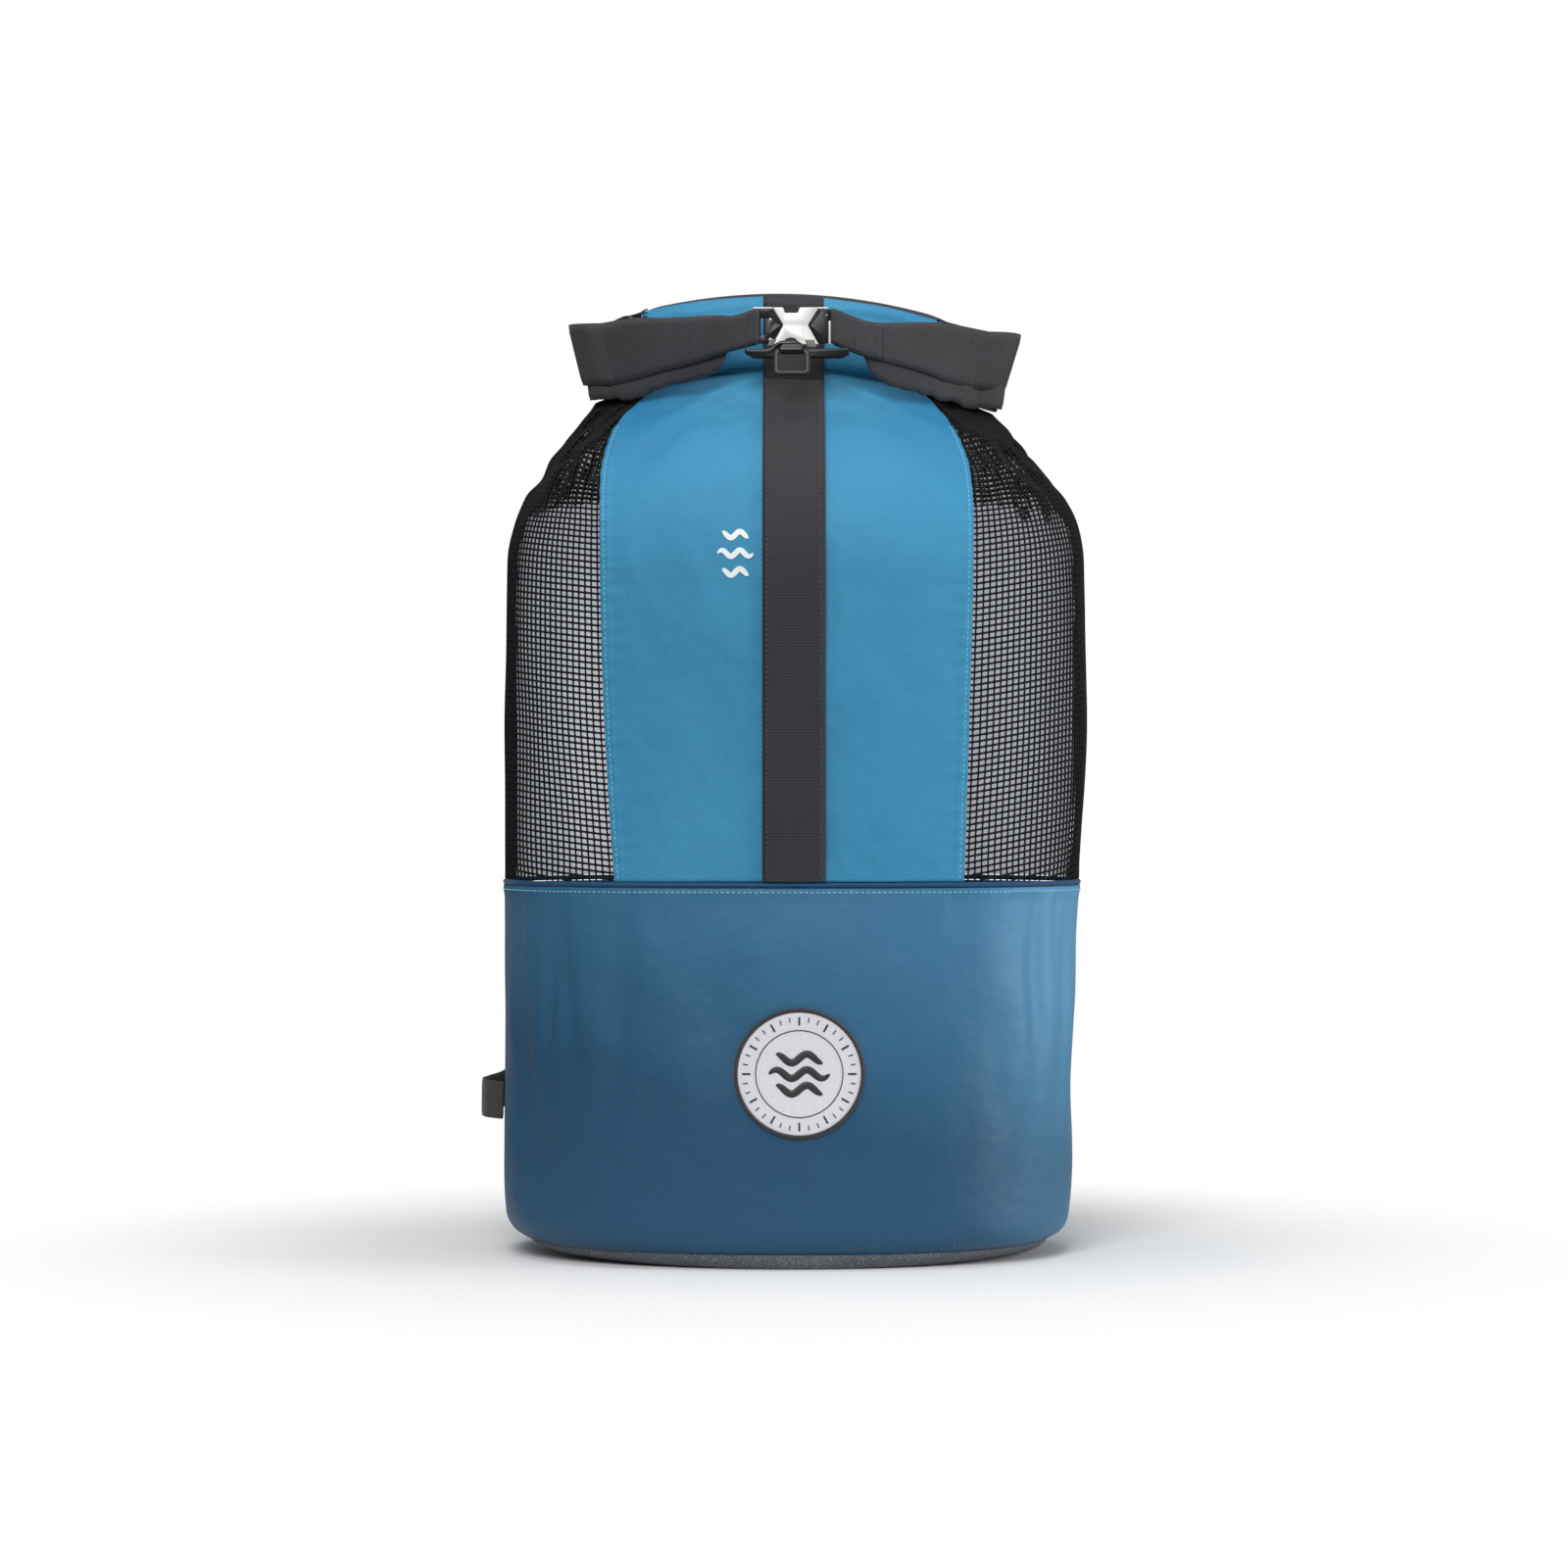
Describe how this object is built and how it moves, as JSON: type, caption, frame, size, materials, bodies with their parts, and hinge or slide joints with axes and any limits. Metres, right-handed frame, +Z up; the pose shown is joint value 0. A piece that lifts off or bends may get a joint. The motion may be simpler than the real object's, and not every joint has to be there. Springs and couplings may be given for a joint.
{
  "type": "mesh dive gear bag",
  "caption": "Roll-top backpack with a coated cloth tub, net sides, a cloth front panel, a rolled mouth held by a buckled webbing band, and padded shoulder straps.",
  "frame": {"origin": "middle of the base's flat underside", "axes": "+Z up, the front with its webbing strap and badge faces -Y, +X to the right seen from the front"},
  "size_m": [0.4072, 0.2993, 0.6436],
  "materials": {
    "blue_cloth": "light blue coated cloth with a fine weave and a soft sheen",
    "deep_blue_cloth": "duller and darker blue coated twill",
    "black_webbing": "ribbed black webbing with stitch lines",
    "black_net": "matt black knitted net with open cells",
    "black_padding": "black spacer fabric over foam",
    "grey_coating": "dark grey speckled coating",
    "black_plastic": "glossy black moulded plastic",
    "silver_metal": "brushed silver metal",
    "black_rubber": "matt black moulded rubber",
    "white_patch": "white woven badge cloth with dark thread marks"
  },
  "bodies": {
    "root": {"base": "grey_coating", "lower_body": "deep_blue_cloth", "seam_piping": "deep_blue_cloth", "front_panel": "blue_cloth", "back_panel": "black_padding", "net_left": "black_net", "net_right": "black_net", "front_strap": "black_webbing", "rolled_mouth": "blue_cloth", "mouth_band": "black_webbing", "under_band_left": "black_webbing", "under_band_right": "black_webbing", "buckle_frame_left": "black_plastic", "buckle_frame_right": "black_plastic", "clasp_plate": "silver_metal", "buckle_pin": "silver_metal", "lower_bar": "black_plastic", "pull_tab": "black_rubber", "badge": "white_patch", "badge_border": "black_webbing", "shoulder_strap_left": "black_padding", "shoulder_strap_right": "black_padding", "strap_webbing_left": "black_webbing", "strap_webbing_right": "black_webbing"}
  },
  "joints": []
}
